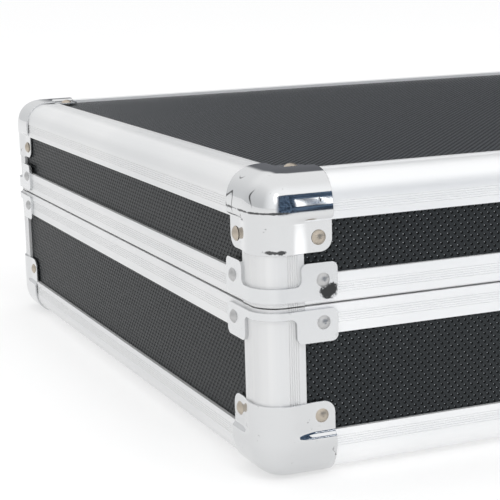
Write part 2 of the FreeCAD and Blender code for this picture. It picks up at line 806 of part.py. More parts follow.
# ---- Handle -----------------------------------------------------------------------
def handle_bracket():
    """Right-hand bracket: riveted plate with a drilled boss for the bail's end."""
    boss_x0 = boss_middle - boss_width / 2
    back = -panel_face
    half = handle_bracket_width / 2
    flat_part = front(boss_middle - half, boss_middle + half, back, back + handle_bracket_plate,
                      handle_bracket_bottom, handle_bracket_top)
    flat_part = round_edges(flat_part, bracket_corner_radius, along(Y_AXIS))
    start = V(boss_x0, -half_y - handle_out, handle_pivot_z)
    boss = rod(start, X_AXIS, boss_radius, boss_width)
    web_low = handle_pivot_z - boss_radius
    web = front(boss_x0, boss_x0 + boss_width, back, handle_out, web_low, handle_bracket_top)
    bore = rod(start, X_AXIS, bail_radius + running_clearance, boss_width)
    return fuse([flat_part, web, boss]).cut(bore)


def bail_centre_line():
    """Half of the bail's line on the right: pivot end, bend, arm, bend, grip."""
    y = -half_y - handle_out
    bend = bail_bend
    low = handle_pivot_z - bail_drop
    soft = bend * (1 - sqrt(0.5))
    tip = V(handle_half_span - bail_bend - boss_width - pin_overhang, y, handle_pivot_z)
    a = V(handle_half_span - bend, y, handle_pivot_z)
    a_mid = V(handle_half_span - soft, y, handle_pivot_z - soft)
    b = V(handle_half_span, y, handle_pivot_z - bend)
    c = V(handle_half_span, y, low + bend)
    c_mid = V(handle_half_span - soft, y, low + soft)
    d = V(handle_half_span - bend, y, low)
    middle = V(0, y, low)
    return [Part.LineSegment(tip, a).toShape(), Part.Arc(a, a_mid, b).toShape(),
            Part.LineSegment(b, c).toShape(), Part.Arc(c, c_mid, d).toShape(),
            Part.LineSegment(d, middle).toShape()]


def handle_bail():
    """Round steel bail whose ends turn in through the brackets."""
    half_wire = Part.Wire(bail_centre_line())
    tip = half_wire.Edges[0].Vertexes[0].Point
    ring = Part.Wire([Part.makeCircle(bail_radius, tip, X_AXIS)])
    half = half_wire.makePipeShell([ring], True, True)
    return fuse(both_ends(half))


def handle_grip():
    """Moulded grip round the bail, fuller in the middle."""
    y = -half_y - handle_out
    z = handle_pivot_z - bail_drop
    half = grip_length / 2
    start = V(-half, y, z)
    end = V(half, y, z)
    out = V(0, -1, 0)
    edges = [Part.LineSegment(start, start + out * grip_end_radius).toShape()]
    edges.append(Part.Arc(start + out * grip_end_radius, V(0, y, z) + out * grip_radius,
                          end + out * grip_end_radius).toShape())
    edges.append(Part.LineSegment(end + out * grip_end_radius, end).toShape())
    edges.append(Part.LineSegment(end, start).toShape())
    body = Part.Face(Part.Wire(edges)).revolve(V(0, y, z), X_AXIS, 360)
    return body.cut(rod(start - X_AXIS, X_AXIS, bail_radius + fit, grip_length + 2))


# ---- Assembly ---------------------------------------------------------------------
def build_half(prefix, z_plane, z_dir, rim_z, outline, rivets):
    """Panels and profiles that the lid and the base have alike."""
    level = {"lid": rim_web + wall + fit, "base": rim_flange + fit}[prefix]
    near = rim_z - z_dir * level
    far = z_plane + z_dir * panel_inset
    z0 = min(near, far)
    z1 = max(near, far)
    front_panel = long_panel(z0, z1)
    left_panel = end_panel(z0, z1)
    save(prefix + "_front_panel", drill(front_panel, rivets))
    save(prefix + "_back_panel", drill(mirror_y(front_panel), rivets))
    save(prefix + "_left_panel", drill(left_panel, rivets))
    save(prefix + "_right_panel", drill(mirror_x(left_panel), rivets))
    long_edge = edge_profile_long(z_plane, z_dir)
    short_edge = edge_profile_short(z_plane, z_dir)
    save(prefix + "_front_edge_profile", long_edge)
    save(prefix + "_back_edge_profile", mirror_y(long_edge))
    save(prefix + "_left_edge_profile", short_edge)
    save(prefix + "_right_edge_profile", mirror_x(short_edge))
    post_far = z_plane + z_dir * profile_end
    post = corner_post(min(rim_z, post_far), max(rim_z, post_far))
    save(prefix + "_corner_posts", four_corners(post))
    long_rim = rim_long(outline, rim_z, -z_dir)
    short_rim = rim_short(outline, rim_z, -z_dir)
    save(prefix + "_front_rim", drill(long_rim, rivets))
    save(prefix + "_back_rim", drill(mirror_y(long_rim), rivets))
    save(prefix + "_left_rim", drill(short_rim, rivets))
    save(prefix + "_right_rim", drill(mirror_x(short_rim), rivets))


def build_base():
    corner = corner_rivets(0, 1)
    bracket = bracket_rivets(base_height - base_bracket_rivet)
    leaf_out = hinge_plate - panel_face
    hinge_z = base_height - base_hinge_rivet
    hardware = face_rivets(hinge_x, hinge_rivet_spacing, [hinge_z], 1, leaf_out)
    hardware += face_rivets(latch_x, lock_rivet_spacing, [lock_rivet_high], -1, lock_upper_out)
    hardware += face_rivets(latch_x, lock_rivet_spacing, [lock_rivet_low], -1, lock_lower_out)
    bracket_out = handle_bracket_plate - panel_face
    hardware += face_rivets(boss_middle, handle_rivet_spacing, [handle_rivet_low], -1, bracket_out)
    hardware += face_rivets(boss_middle, handle_rivet_spacing, [handle_rivet_high], -1, bracket_out)
    rivets = corner + bracket + hardware
    build_half("base", 0, 1, base_top, base_rim_outline(), rivets)
    save("base_bottom_panel", drill(flat_panel(0, 1), rivets))
    corners = four_corners(placed_ball_corner(0, 1))
    save("base_ball_corners", [drill(piece, corner) for piece in corners])
    ear_bottom = base_height - base_bracket_bottom
    top = base_height - base_bracket_gap
    notch_top = base_height - base_bracket_band
    piece = corner_bracket(ear_bottom, top, ear_bottom - 1, notch_top, base_ear_inset)
    save("base_corner_brackets", [drill(copy, bracket) for copy in four_corners(piece)])
    save("base_ball_corner_rivets", [rivet.solid() for rivet in corner])
    save("base_bracket_rivets", [rivet.solid() for rivet in bracket])
    save("base_hardware_rivets", [rivet.solid() for rivet in hardware])
    save("base_lining", drill(lining(panel_back + fit, lining_top), rivets))
    base_leaf, lid_leaf, pin = hinge_parts()
    save("base_hinge_leaves", [drill(copy, hardware) for copy in both_ends(base_leaf)])
    save("hinge_pins", both_ends(pin))
    save("handle_brackets", [drill(copy, hardware) for copy in both_ends(handle_bracket())])
    cases = []
    for side in (-1, 1):
        case = lock_case()
        case.translate(V(side * latch_x, 0, 0))
        cases.append(drill(case, hardware))
    save("lock_cases", cases)


def build_lid():
    corner = corner_rivets(case_height, -1)
    bracket = bracket_rivets(base_height + lid_bracket_rivet)
    leaf_out = hinge_plate - panel_face
    hinge_z = base_height + lid_hinge_rivet
    mount_z = base_height + mount_rivet_height
    hardware = face_rivets(hinge_x, hinge_rivet_spacing, [hinge_z], 1, leaf_out)
    hardware += face_rivets(latch_x, mount_rivet_spacing, [mount_z], -1, leaf_out)
    rivets = corner + bracket + hardware
    build_half("lid", case_height, -1, lid_bottom, lid_rim_outline(), rivets)
    save("lid_top_panel", drill(flat_panel(case_height, -1), rivets))
    corners = four_corners(placed_ball_corner(case_height, -1))
    save("lid_ball_corners", [drill(piece, corner) for piece in corners])
    ear_top = base_height + lid_bracket_top
    bottom = base_height + lid_bracket_gap
    notch_bottom = base_height + lid_bracket_band
    piece = corner_bracket(bottom, ear_top, notch_bottom, ear_top + 1, lid_ear_inset)
    save("lid_corner_brackets", [drill(copy, bracket) for copy in four_corners(piece)])
    save("lid_ball_corner_rivets", [rivet.solid() for rivet in corner])
    save("lid_bracket_rivets", [rivet.solid() for rivet in bracket])
    save("lid_hardware_rivets", [rivet.solid() for rivet in hardware])
    save("lid_pad", drill(lining(pad_bottom, pad_bottom + pad_thickness), rivets))
    base_leaf, lid_leaf, pin = hinge_parts()
    save("lid_hinge_leaves", [drill(copy, hardware) for copy in both_ends(lid_leaf)])
    mounts = []
    pins = []
    for side in (-1, 1):
        mount = hasp_mount()
        mount.translate(V(side * latch_x, 0, 0))
        mounts.append(drill(mount, hardware))
        pin = hasp_pin()
        pin.translate(V(side * latch_x, 0, 0))
        pins.append(pin)
    save("hasp_mounts", mounts)
    save("hasp_pins", pins)


def build_latch(name, side):
    """The moving pieces of one latch."""
    pieces = {"hasp": hasp(), "slider": slider(), "lock_cylinder": lock_cylinder()}
    for piece_name, piece in pieces.items():
        piece.translate(V(side * latch_x, 0, 0))
        save(name + "_" + piece_name, piece)


def build_inside_and_handle():
    left = chip_tray(-inside_x + tray_gap)
    save("left_chip_tray", left)
    save("right_chip_tray", mirror_x(left))
    save("centre_tray", centre_tray())
    save("handle_bail", handle_bail())
    save("handle_grip", handle_grip())


os.makedirs("parts", exist_ok=True)
build_base()
build_lid()
build_latch("left", -1)
build_latch("right", 1)
build_inside_and_handle()
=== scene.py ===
"""Poker chip case: finishes, soft and pressed pieces, studio and camera round the case's parts.

X runs along the case, -Y is the front with the latches and the handle, Z is up and the case
rests on Z = 0.  Lengths are in metres.
"""
import math

import bpy
import numpy as np
from mathutils import Matrix, Vector


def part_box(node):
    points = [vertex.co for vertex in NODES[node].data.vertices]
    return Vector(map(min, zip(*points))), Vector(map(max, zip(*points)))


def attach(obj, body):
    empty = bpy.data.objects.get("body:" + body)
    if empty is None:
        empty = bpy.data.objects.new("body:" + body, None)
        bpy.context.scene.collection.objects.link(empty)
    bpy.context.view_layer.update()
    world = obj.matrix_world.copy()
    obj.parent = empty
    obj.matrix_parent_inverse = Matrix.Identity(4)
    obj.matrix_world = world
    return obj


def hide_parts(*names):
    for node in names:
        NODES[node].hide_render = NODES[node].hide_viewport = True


bl_info = {
    "name": "Poker Chip Case",
    "version": (1, 0, 0),
    "blender": (4, 5, 0),
    "location": "View3D > Sidebar > Chip Case",
    "description": "Dotted boards, aluminium profiles and pressed hardware of a chip case",
    "category": "Object",
}

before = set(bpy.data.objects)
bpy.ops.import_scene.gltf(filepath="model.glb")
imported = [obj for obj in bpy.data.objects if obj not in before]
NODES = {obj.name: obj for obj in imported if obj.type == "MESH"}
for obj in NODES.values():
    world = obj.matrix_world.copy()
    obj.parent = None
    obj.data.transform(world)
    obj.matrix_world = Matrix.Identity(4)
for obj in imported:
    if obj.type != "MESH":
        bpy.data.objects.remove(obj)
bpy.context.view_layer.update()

# ---- Places read from the frame -----------------------------------------------------
BASE_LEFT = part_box("base_left_edge_profile")
BASE_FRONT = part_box("base_front_edge_profile")
LID_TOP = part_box("lid_front_edge_profile")[1].z
LEFT_X = BASE_LEFT[0].x
RIGHT_X = -LEFT_X
FRONT_Y = BASE_FRONT[0].y
REAR_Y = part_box("base_back_edge_profile")[1].y
BOTTOM_Z = BASE_FRONT[0].z
NEAR_CORNER = Vector((LEFT_X, FRONT_Y, BOTTOM_Z))


# ---- Shader maths -------------------------------------------------------------------
class Value:
    """A number that varies over a surface; arithmetic on it adds Math nodes."""

    def __init__(self, finish, socket):
        self.finish = finish
        self.socket = socket

    def math(self, operation, *values):
        return self.finish.node("Math", {"operation": operation}, dict(enumerate(values))).out(0)

    def __add__(self, other):
        return self.math("ADD", self, other)

    __radd__ = __add__

    def __sub__(self, other):
        return self.math("SUBTRACT", self, other)

    def __rsub__(self, other):
        return self.math("SUBTRACT", other, self)

    def __mul__(self, other):
        return self.math("MULTIPLY", self, other)

    __rmul__ = __mul__

    def __truediv__(self, other):
        return self.math("DIVIDE", self, other)

    def fraction(self):
        return self.math("FRACT", self)

    def root(self):
        return self.math("SQRT", self)

    def lesser(self, other):
        return self.math("MINIMUM", self, other)

    def greater(self, other):
        return self.math("MAXIMUM", self, other)

    def eased(self, low, high, first=0.0, last=1.0):
        """Smooth step from first, at and below low, to last, at and above high."""
        settings = {"interpolation_type": "SMOOTHSTEP"}
        values = {"Value": self, "From Min": low, "From Max": high, "To Min": first, "To Max": last}
        return self.finish.node("MapRange", settings, values).out(0)


class Placed:
    """A node already in a finish's tree."""

    def __init__(self, finish, node):
        self.finish = finish
        self.node = node

    def out(self, key):
        return Value(self.finish, self.node.outputs[key])


class Finish:
    """One material's node tree, and the few ways its nodes are added."""

    def __init__(self, name, tree=None):
        if tree is None:
            self.material = bpy.data.materials.new(name)
            self.material.use_nodes = True
            tree = self.material.node_tree
        self.tree = tree
        self.tree.nodes.clear()

    def node(self, kind, settings=None, sockets=None):
        """Adds a node of a type, with its settings first and then its sockets' values or links."""
        made = self.tree.nodes.new("ShaderNode" + kind)
        for key, setting in (settings or {}).items():
            setattr(made, key, setting)
        for key, value in (sockets or {}).items():
            if isinstance(value, Value):
                self.tree.links.new(value.socket, made.inputs[key])
            else:
                made.inputs[key].default_value = value
        return Placed(self, made)

    def place(self, scale=(1, 1, 1), offset=(0, 0, 0)):
        """The point on the piece, in metres, after a scale and an offset."""
        point = self.node("TexCoord").out("Object")
        sockets = {"Vector": point, "Location": offset, "Scale": scale}
        return self.node("Mapping", {}, sockets).out(0)

    def axes(self):
        """The point's X, Y and Z on the piece, in metres."""
        point = self.node("TexCoord").out("Object")
        split = self.node("SeparateXYZ", {}, {0: point})
        return {"X": split.out(0), "Y": split.out(1), "Z": split.out(2)}

    def away(self, place, size):
        """Distance from a place, measured in the sizes given for each axis."""
        steps = [(axis - at) / reach for axis, at, reach in zip(self.axes().values(), place, size)]
        return (steps[0] * steps[0] + steps[1] * steps[1] + steps[2] * steps[2]).root()

    def noise(self, scale, detail=2.0, rough=0.5, stretch=(1, 1, 1), offset=(0, 0, 0)):
        """Noise of about `scale` lumps to the metre, from 0 to 1."""
        sockets = {"Vector": self.place(stretch, offset), "Scale": scale,
                   "Detail": detail, "Roughness": rough}
        return self.node("TexNoise", {"noise_dimensions": "3D"}, sockets).out(0)

    def grains(self, scale):
        """Distance to the nearest of scattered points, for grains and fibres."""
        sockets = {"Vector": self.place(), "Scale": scale}
        return self.node("TexVoronoi", {"feature": "F1"}, sockets).out("Distance")

    def blend(self, factor, first, last):
        """Colour from first to last as factor goes from 0 to 1."""
        sockets = {0: factor, 6: first, 7: last}
        return self.node("Mix", {"data_type": "RGBA"}, sockets).out(2)

    def bump(self, height, distance, strength=1.0):
        """Normal of a surface raised by height, from 0 to 1, times a distance in metres."""
        sockets = {"Height": height, "Distance": distance, "Strength": strength}
        return self.node("Bump", {}, sockets).out(0)

    def surface(self, **sockets):
        """Principled surface on the output; underscores in names stand for spaces."""
        named = {key.replace("_", " "): value for key, value in sockets.items()}
        shader = self.node("BsdfPrincipled", {}, named).out(0)
        self.node("OutputMaterial", {}, {"Surface": shader})
        return self.material

    def two_surfaces(self, factor, first, last):
        """Mix of two Principled surfaces, from first to last as factor goes from 0 to 1."""
        shaders = [self.node("BsdfPrincipled", {}, sockets).out(0) for sockets in (first, last)]
        mixed = self.node("MixShader", {}, {0: factor, 1: shaders[0], 2: shaders[1]}).out(0)
        self.node("OutputMaterial", {}, {"Surface": mixed})
        return self.material


def opaque(colour):
    """The first three parts of a colour, with full alpha."""
    return tuple(colour[:3]) + (1.0,)


def grey(level, blue=0.0):
    """A neutral colour with a little blue, or a little warmth where blue is below 0."""
    return (level * (1 - blue), level, level * (1 + blue), 1.0)


# ---- Finishes -----------------------------------------------------------------------
def dotted_board(name, across, along, look, gloss=0.40):
    """Black laminate with rows of raised dots, each row half a pitch off the next.

    Each dot has painted shade on one side of its foot, where a dark matte surface is mixed
    in, and most dots have a painted highlight in a pale colour at the tip.
    """
    finish = Finish(name)
    axes = finish.axes()

    def nearest(start, shift=0.0):
        """Distance to the nearest dot of one of the two interleaved grids, in dot radii."""
        u = ((axes[across] / look.dot_pitch + (start + shift)).fraction() - 0.5) * look.dot_pitch
        v = (axes[along] / (2 * look.row_pitch) + (start - 0.8 * shift)).fraction() - 0.5
        v = v * (2 * look.row_pitch)
        return (u * u + v * v).root() / look.dot_radius

    reach = nearest(0.0).lesser(nearest(0.5))
    # Painted shade: distances to shifted dot centres place the dark side of each foot.
    shade_reach = nearest(0.0, -look.shade_shift).lesser(nearest(0.5, -look.shade_shift))
    dome = (1.0 - reach * reach).greater(0.0)
    # Painted highlight: a pale colour at each dot's tip, stronger on some dots than on others.
    tip = reach.eased(0.08, 0.36, 1.0, 0.0)
    # Painted shade: a dark crescent at one side of each dot's foot.
    foot = shade_reach.eased(0.60, 0.92, 1.0, 0.0) * reach.eased(0.28, 0.45)
    cloud = finish.noise(9.0, 3.0, 0.6)
    dust = finish.noise(900.0, 2.0, 0.6)
    specks_and_painted_light = finish.noise(520.0, 1.0, 0.5).eased(0.30, 0.70, 0.25, 1.0)
    tint = finish.blend(cloud.eased(0.35, 0.7), opaque(look.board_dark),
                        opaque(look.board_light))
    tint = finish.blend(tip * specks_and_painted_light, tint, opaque(look.tip_highlight))
    rough = look.board_roughness + 0.10 * dust - 0.12 * dome + 0.06 * cloud
    normal = finish.bump(dome + 0.04 * dust, look.dot_height)
    # Painted shade: the dark matte second surface is mixed in at the feet.
    return finish.two_surfaces(
        0.9 * foot,
        {"Base Color": tint, "Roughness": rough, "Normal": normal, "IOR": 1.42,
         "Specular IOR Level": gloss, "Specular Tint": (0.86, 0.94, 1.0, 1.0)},
        {"Base Color": grey(0.004), "Roughness": 0.9, "Specular IOR Level": 0.0})


def satin_aluminium(name, run, look, shade):
    """Anodised profile, with faint lines left by the die along its run.

    shade below 1 is painted shade: it blends the colour towards black, for the profiles and rims
    of the ends and for the corner posts.
    """
    finish = Finish(name)
    stretch = tuple(0.012 if axis == run else 1.0 for axis in "XYZ")
    lines = finish.noise(2600.0, 2.0, 0.6, stretch)
    broad = finish.noise(420.0, 2.0, 0.5, stretch)
    cloud = finish.noise(14.0, 3.0, 0.6)
    tint = finish.blend(cloud.eased(0.3, 0.75), opaque(look.satin_dark),
                        opaque(look.satin_light))
    tint = finish.blend(0.35 * broad.eased(0.3, 0.8), tint, grey(0.80, 0.01))
    # Painted shade: the colour goes towards black by 1 - shade.
    tint = finish.blend(1.0 - shade, tint, grey(0.0))
    rough = look.satin_roughness + 0.10 * lines + 0.06 * cloud
    normal = finish.bump(lines * 0.6 + broad, look.line_depth)
    return finish.surface(Base_Color=tint, Metallic=look.satin_metallic, Roughness=rough,
                          Normal=normal)


def plated_steel(name, look, level, roughness, scuff, seed=0.0, blue=0.0, marks=()):
    """Bright plating with fine wiping marks, wear specks and some cracked, grimy and painted marks.

    A mark is a place, a size on each axis, a kind and a strength.  Cracks follow the level line
    of a noise; every other mark darkens the parts of it where the noise is high, some as grime,
    one as painted shade along a crease and one as a painted dark reflection.
    """
    finish = Finish(name)
    offset = (seed, seed * 1.7, seed * 0.6)
    wipes = finish.noise(900.0, 3.0, 0.65, (1.0, 0.25, 0.6), offset)
    ripple = finish.noise(160.0, 2.0, 0.5, (1, 1, 1), offset)
    patch = finish.noise(330.0, 4.0, 0.7, (1, 1, 1), offset)
    specks_and_painted_light = patch.eased(0.66, 0.72) * scuff
    for place, size, kind, strength in marks:
        away = finish.away(NEAR_CORNER + Vector(place), size)
        if kind == "crack":
            fork = finish.noise(130.0, 1.0, 0.5) - 0.5
            mark = (fork * fork).eased(0.00005, 0.0005, 1.0, 0.0) * away.eased(0.8, 1.1, 1.0, 0.0)
        else:
            mark = (away + 2.5 * (0.5 - patch)).eased(0.55, 0.95, 1.0, 0.0)
        specks_and_painted_light = specks_and_painted_light.greater(mark * strength)
    # Painted shade and painted dark reflections among the marks darken the plating here too.
    tint = finish.blend(specks_and_painted_light, grey(level, blue), grey(level * 0.05, blue))
    rough = roughness + 0.03 * wipes + 0.30 * specks_and_painted_light
    normal = finish.bump(ripple + 0.12 * wipes, look.ripple_depth)
    return finish.surface(Base_Color=tint, Metallic=1.0, Roughness=rough, Normal=normal)


def turned_metal(name, colour, roughness, depth=3e-6):
    """Small turned or headed pieces: rivets, pins and lock cylinders."""
    finish = Finish(name)
    marks = finish.noise(3200.0, 2.0, 0.6)
    soot = finish.noise(700.0, 3.0, 0.6)
    sooty = opaque([0.5 * part for part in colour[:3]])
    tint = finish.blend(0.35 * soot.eased(0.5, 0.75), colour, sooty)
    rough = roughness + 0.10 * marks
    normal = finish.bump(marks, depth)
    return finish.surface(Base_Color=tint, Metallic=1.0, Roughness=rough, Normal=normal)


def moulded_plastic(name, look):
    """Black moulded plastic with a fine sparked texture."""
    finish = Finish(name)
    spark = finish.grains(1500.0)
    cloud = finish.noise(60.0, 3.0, 0.6)
    tint = finish.blend(cloud.eased(0.3, 0.7), grey(0.010), grey(0.020, 0.03))
    rough = look.grip_roughness + 0.12 * cloud
    normal = finish.bump(spark, 8e-5, 0.6)
    return finish.surface(Base_Color=tint, Roughness=rough, Normal=normal)


def flocked(name, colour, look, pile=2200.0):
    """Short velvet flock: a fine pile that is brushed darker and lighter in places."""
    finish = Finish(name)
    fibres = finish.grains(pile)
    tuft = finish.noise(900.0, 3.0, 0.7)
    nap = finish.noise(28.0, 3.0, 0.6, (1.0, 0.5, 1.0))
    light = opaque([min(1.0, part * look.nap_contrast) for part in colour[:3]])
    tint = finish.blend(nap.eased(0.35, 0.7), opaque(colour), light)
    tint = finish.blend(0.4 * tuft, tint, grey(0.003))
    normal = finish.bump(fibres * 0.7 + tuft, 1.2e-4, 0.7)
    rough = 0.86 + 0.1 * tuft
    return finish.surface(Base_Color=tint, Roughness=rough, Normal=normal, Sheen_Weight=0.45,
                          Sheen_Roughness=0.35, Specular_IOR_Level=0.2)


def paint(names, material):
    """Gives every named CAD node one finish on all its material slots."""
    for name in names:
        mesh = NODES[name].data
        if not mesh.materials:
            mesh.materials.append(material)
        for index in range(len(mesh.materials)):
            mesh.materials[index] = material


# ---- Surfaces -----------------------------------------------------------------------
def smooth_step(values, low, high):
    """0 at and below low, 1 at and above high, and 3 x squared minus 2 x cubed between."""
    x = np.clip((values - low) / (high - low), 0.0, 1.0)
    return x * x * (3.0 - 2.0 * x)


def grid_quads(rows, columns):
    """Corner numbers of the quads of a grid of points, row after row."""
    index = np.arange(rows * columns).reshape(rows, columns)
    quads = np.stack([index[:-1, :-1], index[1:, :-1], index[1:, 1:], index[:-1, 1:]], axis=-1)
    return quads.reshape(-1, 4)


def welded_mesh(name, points, faces):
    """Mesh of points and quads, with points at the same place made one and flat quads dropped."""
    keys = np.round(points / 1e-7).astype(np.int64)
    _, first, where = np.unique(keys, axis=0, return_index=True, return_inverse=True)
    faces = where.reshape(-1)[faces]
    mesh = bpy.data.meshes.new(name)
    corners = [list(dict.fromkeys(face)) for face in faces.tolist()]
    mesh.from_pydata(points[first].tolist(), [], [face for face in corners if len(face) > 2])
    mesh.shade_smooth()
    return mesh


def add_piece(name, mesh, material, body, replaced):
    """Puts a mesh in the scene as a piece that rides on a body and stands for CAD nodes."""
    piece = bpy.data.objects.new(name, mesh)
    bpy.context.scene.collection.objects.link(piece)
    mesh.materials.append(material)
    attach(piece, body)
    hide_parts(*replaced)
    return piece


def ball_corner_surface(look, ball_lip, count=40):
    """Outer skin of a ball corner with the case's corner at the origin, reaching along + axes.

    A point (s, t) of each of three square faces lies on a sharp cube.  The nearest point of the
    same cube shrunk by a radius is found, and the point is set one radius out from it, which
    rounds edges and tip.  The distance is the root of powers higher than two, which keeps the
    rounding flatter where it starts.  The upright arm is thinner than the ball over it by
    ball_lip, after a smooth step.  The far corner of each face is rounded by turning its small
    square into a quarter disc.  Where both s and t pass the joggle the tab sinks by a product
    of two smooth steps.
    """
    reach = look.ball_reach + look.plate
    side = np.linspace(0.0, reach, count)
    s, t = np.meshgrid(side, side, indexing="ij")
    start = reach - look.tab_radius
    a = np.clip((s - start) / look.tab_radius, 0.0, 1.0)
    b = np.clip((t - start) / look.tab_radius, 0.0, 1.0)
    s = np.where(s > start, start + look.tab_radius * a * np.sqrt(1.0 - b * b / 2), s)
    t = np.where(t > start, start + look.tab_radius * b * np.sqrt(1.0 - a * a / 2), t)
    radius = look.ball_radius
    power = look.ball_power
    points = []
    for normal in range(3):
        sharp = np.zeros(s.shape + (3,))
        sharp[..., (normal + 1) % 3] = s
        sharp[..., (normal + 2) % 3] = t
        core = np.maximum(sharp, radius)
        away = sharp - core
        away /= np.sum(np.abs(away) ** power, axis=-1, keepdims=True) ** (1.0 / power)
        level, upright = (s, t) if normal == 0 else (t, s)
        flat = normal == 2
        soft = look.joggle_sharp if flat else look.joggle_soft
        sink = smooth_step(level - look.plate, look.joggle - soft, look.joggle + 0.5 * soft)
        below = smooth_step(upright - look.plate, look.joggle - look.joggle_sharp, look.joggle)
        lip = 0.0 if flat else ball_lip * below[..., None]
        place = core + (radius - lip) * away - look.plate
        place[..., normal] += look.tab_depth * sink * below
        points.append(place.reshape(-1, 3))
    faces = np.concatenate([grid_quads(count, count) + k * count * count for k in range(3)])
    return np.concatenate(points), faces[:, ::-1]


def four_shells(points, faces, ends_z):
    """The piece at all four upright edges of the case, mirrored so that faces still point out."""
    every_point = []
    every_face = []
    place_z, sign_z = ends_z
    for place_x, sign_x in ((LEFT_X, 1), (RIGHT_X, -1)):
        for place_y, sign_y in ((FRONT_Y, 1), (REAR_Y, -1)):
            turned = faces if sign_x * sign_y * sign_z > 0 else faces[:, ::-1]
            every_face.append(turned + sum(len(block) for block in every_point))
            signs = np.array([sign_x, sign_y, sign_z])
            every_point.append(np.array([place_x, place_y, place_z]) + points * signs)
    return np.concatenate(every_point), np.concatenate(every_face)


def thicken(piece, thickness, edge):
    """Wall inwards from the surface, then its sharp edges rounded by a width."""
    wall = piece.modifiers.new("wall", "SOLIDIFY")
    wall.thickness = thickness
    wall.offset = -1.0
    rim = piece.modifiers.new("rim", "BEVEL")
    rim.width = edge
    rim.segments = 2
    rim.limit_method = "ANGLE"
    rim.angle_limit = math.radians(50)
    rim.harden_normals = True


def rounded_box(low, high, radius, counts):
    """Six grids of points on a box with round edges: each point of the sharp box is set one
    radius out from the nearest point of the box shrunk by that radius."""
    low, high = np.array(low), np.array(high)
    blocks = []
    faces = []
    total = 0
    for normal in range(3):
        first, second = (normal + 1) % 3, (normal + 2) % 3
        sides = [spaced(low[axis], high[axis], radius, counts[axis]) for axis in (first, second)]
        s, t = np.meshgrid(*sides, indexing="ij")
        for end, level in enumerate((low[normal], high[normal])):
            sharp = np.empty(s.shape + (3,))
            sharp[..., first] = s
            sharp[..., second] = t
            sharp[..., normal] = level
            core = np.clip(sharp, low + radius, high - radius)
            away = sharp - core
            away /= np.linalg.norm(away, axis=-1, keepdims=True)
            blocks.append((core + radius * away).reshape(-1, 3))
            quads = grid_quads(*s.shape)
            faces.append((quads if end else quads[:, ::-1]) + total)
            total += s.size
    return np.concatenate(blocks), np.concatenate(faces)


def spaced(low, high, radius, count):
    """Places from low to high: eight steps over the rounding at each end, even ones between."""
    ends = radius * (1.0 - np.cos(np.linspace(0.0, math.pi / 2, 9)))
    middle = np.linspace(low + radius, high - radius, count)[1:-1]
    return np.concatenate([low + ends, middle, (high - ends)[::-1]])


def lathe(along, radii, centre, sides=64):
    """Surface of revolution about an X axis: radius by distance along, from pole to pole."""
    turn = np.linspace(0.0, 2 * math.pi, sides + 1)
    points = np.empty((len(along), sides + 1, 3))
    points[..., 0] = along[:, None]
    points[..., 1] = centre[1] + radii[:, None] * np.cos(turn)
    points[..., 2] = centre[2] + radii[:, None] * np.sin(turn)
    return points.reshape(-1, 3), grid_quads(len(along), sides + 1)[:, ::-1]


# ---- Settings -----------------------------------------------------------------------
def length(name, description, default):
    return bpy.props.FloatProperty(name=name, description=description, default=default,
                                   unit="LENGTH", precision=5)


def share(name, description, default):
    return bpy.props.FloatProperty(name=name, description=description, default=default,
                                   min=0.0, max=1.0, subtype="FACTOR")


def colour(name, description, default):
    return bpy.props.FloatVectorProperty(name=name, description=description, default=default,
                                         size=3, min=0.0, max=1.0, subtype="COLOR")


class ChipCaseBoards(bpy.types.PropertyGroup):
    """Sizes and colours of the dotted laminate."""
    dot_pitch: length("Dot pitch", "Distance between dots in a row", 0.0018)
    row_pitch: length("Row pitch", "Distance between neighbouring rows", 0.0010)
    dot_radius: length("Dot radius", "Radius of a raised dot at its foot", 0.00047)
    dot_height: length("Dot height", "How far a dot stands out", 0.00020)
    board_dark: colour("Dark", "Darker tone of the laminate", (0.0100, 0.0115, 0.0125))
    board_light: colour("Light", "Lighter tone of the laminate", (0.0150, 0.0165, 0.0175))
    # Painted shade: how far the dark crescent at each dot's foot is shifted off the dot.
    shade_shift: share("Dot lean", "How far each dot leans over its foot, in pitches", 0.13)
    # Painted highlight: the pale colour painted at the tips of the dots.
    tip_highlight: colour("Dot tip", "Colour of the rubbed tips of the dots", (0.36, 0.38, 0.40))
    board_roughness: share("Roughness", "Roughness between the dots", 0.27)


class ChipCaseMetals(bpy.types.PropertyGroup):
    """Colours and polish of the metal pieces."""
    satin_dark: colour("Satin dark", "Darker tone of the profiles", (0.86, 0.865, 0.87))
    satin_light: colour("Satin light", "Lighter tone of the profiles", (0.93, 0.93, 0.93))
    satin_roughness: share("Satin roughness", "Roughness of the profiles", 0.42)
    satin_metallic: share("Satin metallic", "How metallic the anodised skin is", 0.62)
    # Painted shade: the end profiles and the posts are darkened by these.
    end_shade: share("End shade", "Brightness of the profiles along the ends", 0.87)
    post_shade: share("Post shade", "Brightness of the posts against the profiles", 0.80)
    line_depth: length("Line depth", "Depth of the die lines", 0.000004)
    ripple_depth: length("Ripple depth", "Unevenness of the pressed plates", 0.000010)
    chrome_level: share("Chrome level", "Brightness of the plated steel", 0.67)
    bracket_level: share("Bracket level", "Brightness of the flat brackets", 0.70)
    nickel: colour("Nickel", "Colour of the corner rivets", (0.50, 0.445, 0.375))


